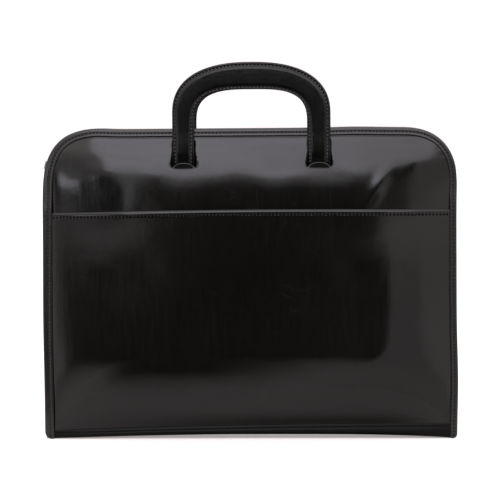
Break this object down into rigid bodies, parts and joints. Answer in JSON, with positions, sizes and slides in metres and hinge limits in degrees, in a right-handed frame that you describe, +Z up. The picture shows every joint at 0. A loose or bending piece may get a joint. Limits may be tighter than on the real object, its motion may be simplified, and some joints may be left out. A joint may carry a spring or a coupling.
{
  "type": "document case",
  "caption": "Slim leather document case with bowed panels, bound edges, a zip top, a full-width slip pocket and drop handles that run through arched slits.",
  "frame": {"origin": "middle of the flat base, on the surface that the case stands on", "axes": "+X to the right along the case's length, +Y from the front pocket towards the back panel, +Z up"},
  "size_m": [0.391, 0.0543, 0.356],
  "materials": {
    "panel_leather": "high gloss",
    "edge_leather": "gloss",
    "strap_leather": "satin",
    "zip_cloth": "matt",
    "zip_metal": "satin"
  },
  "bodies": {
    "root": {"front_panel": "panel_leather", "back_panel": "panel_leather", "front_pocket": "panel_leather", "binding_front": "edge_leather", "binding_back": "edge_leather", "base_strip": "edge_leather", "side_gusset_left": "edge_leather", "side_gusset_right": "edge_leather", "handle_front": "strap_leather", "handle_back": "strap_leather", "zip_tape_front": "zip_cloth", "zip_tape_back": "zip_cloth", "zip_chain": "zip_metal", "zip_slider": "zip_metal", "zip_puller": "zip_metal"}
  },
  "joints": []
}
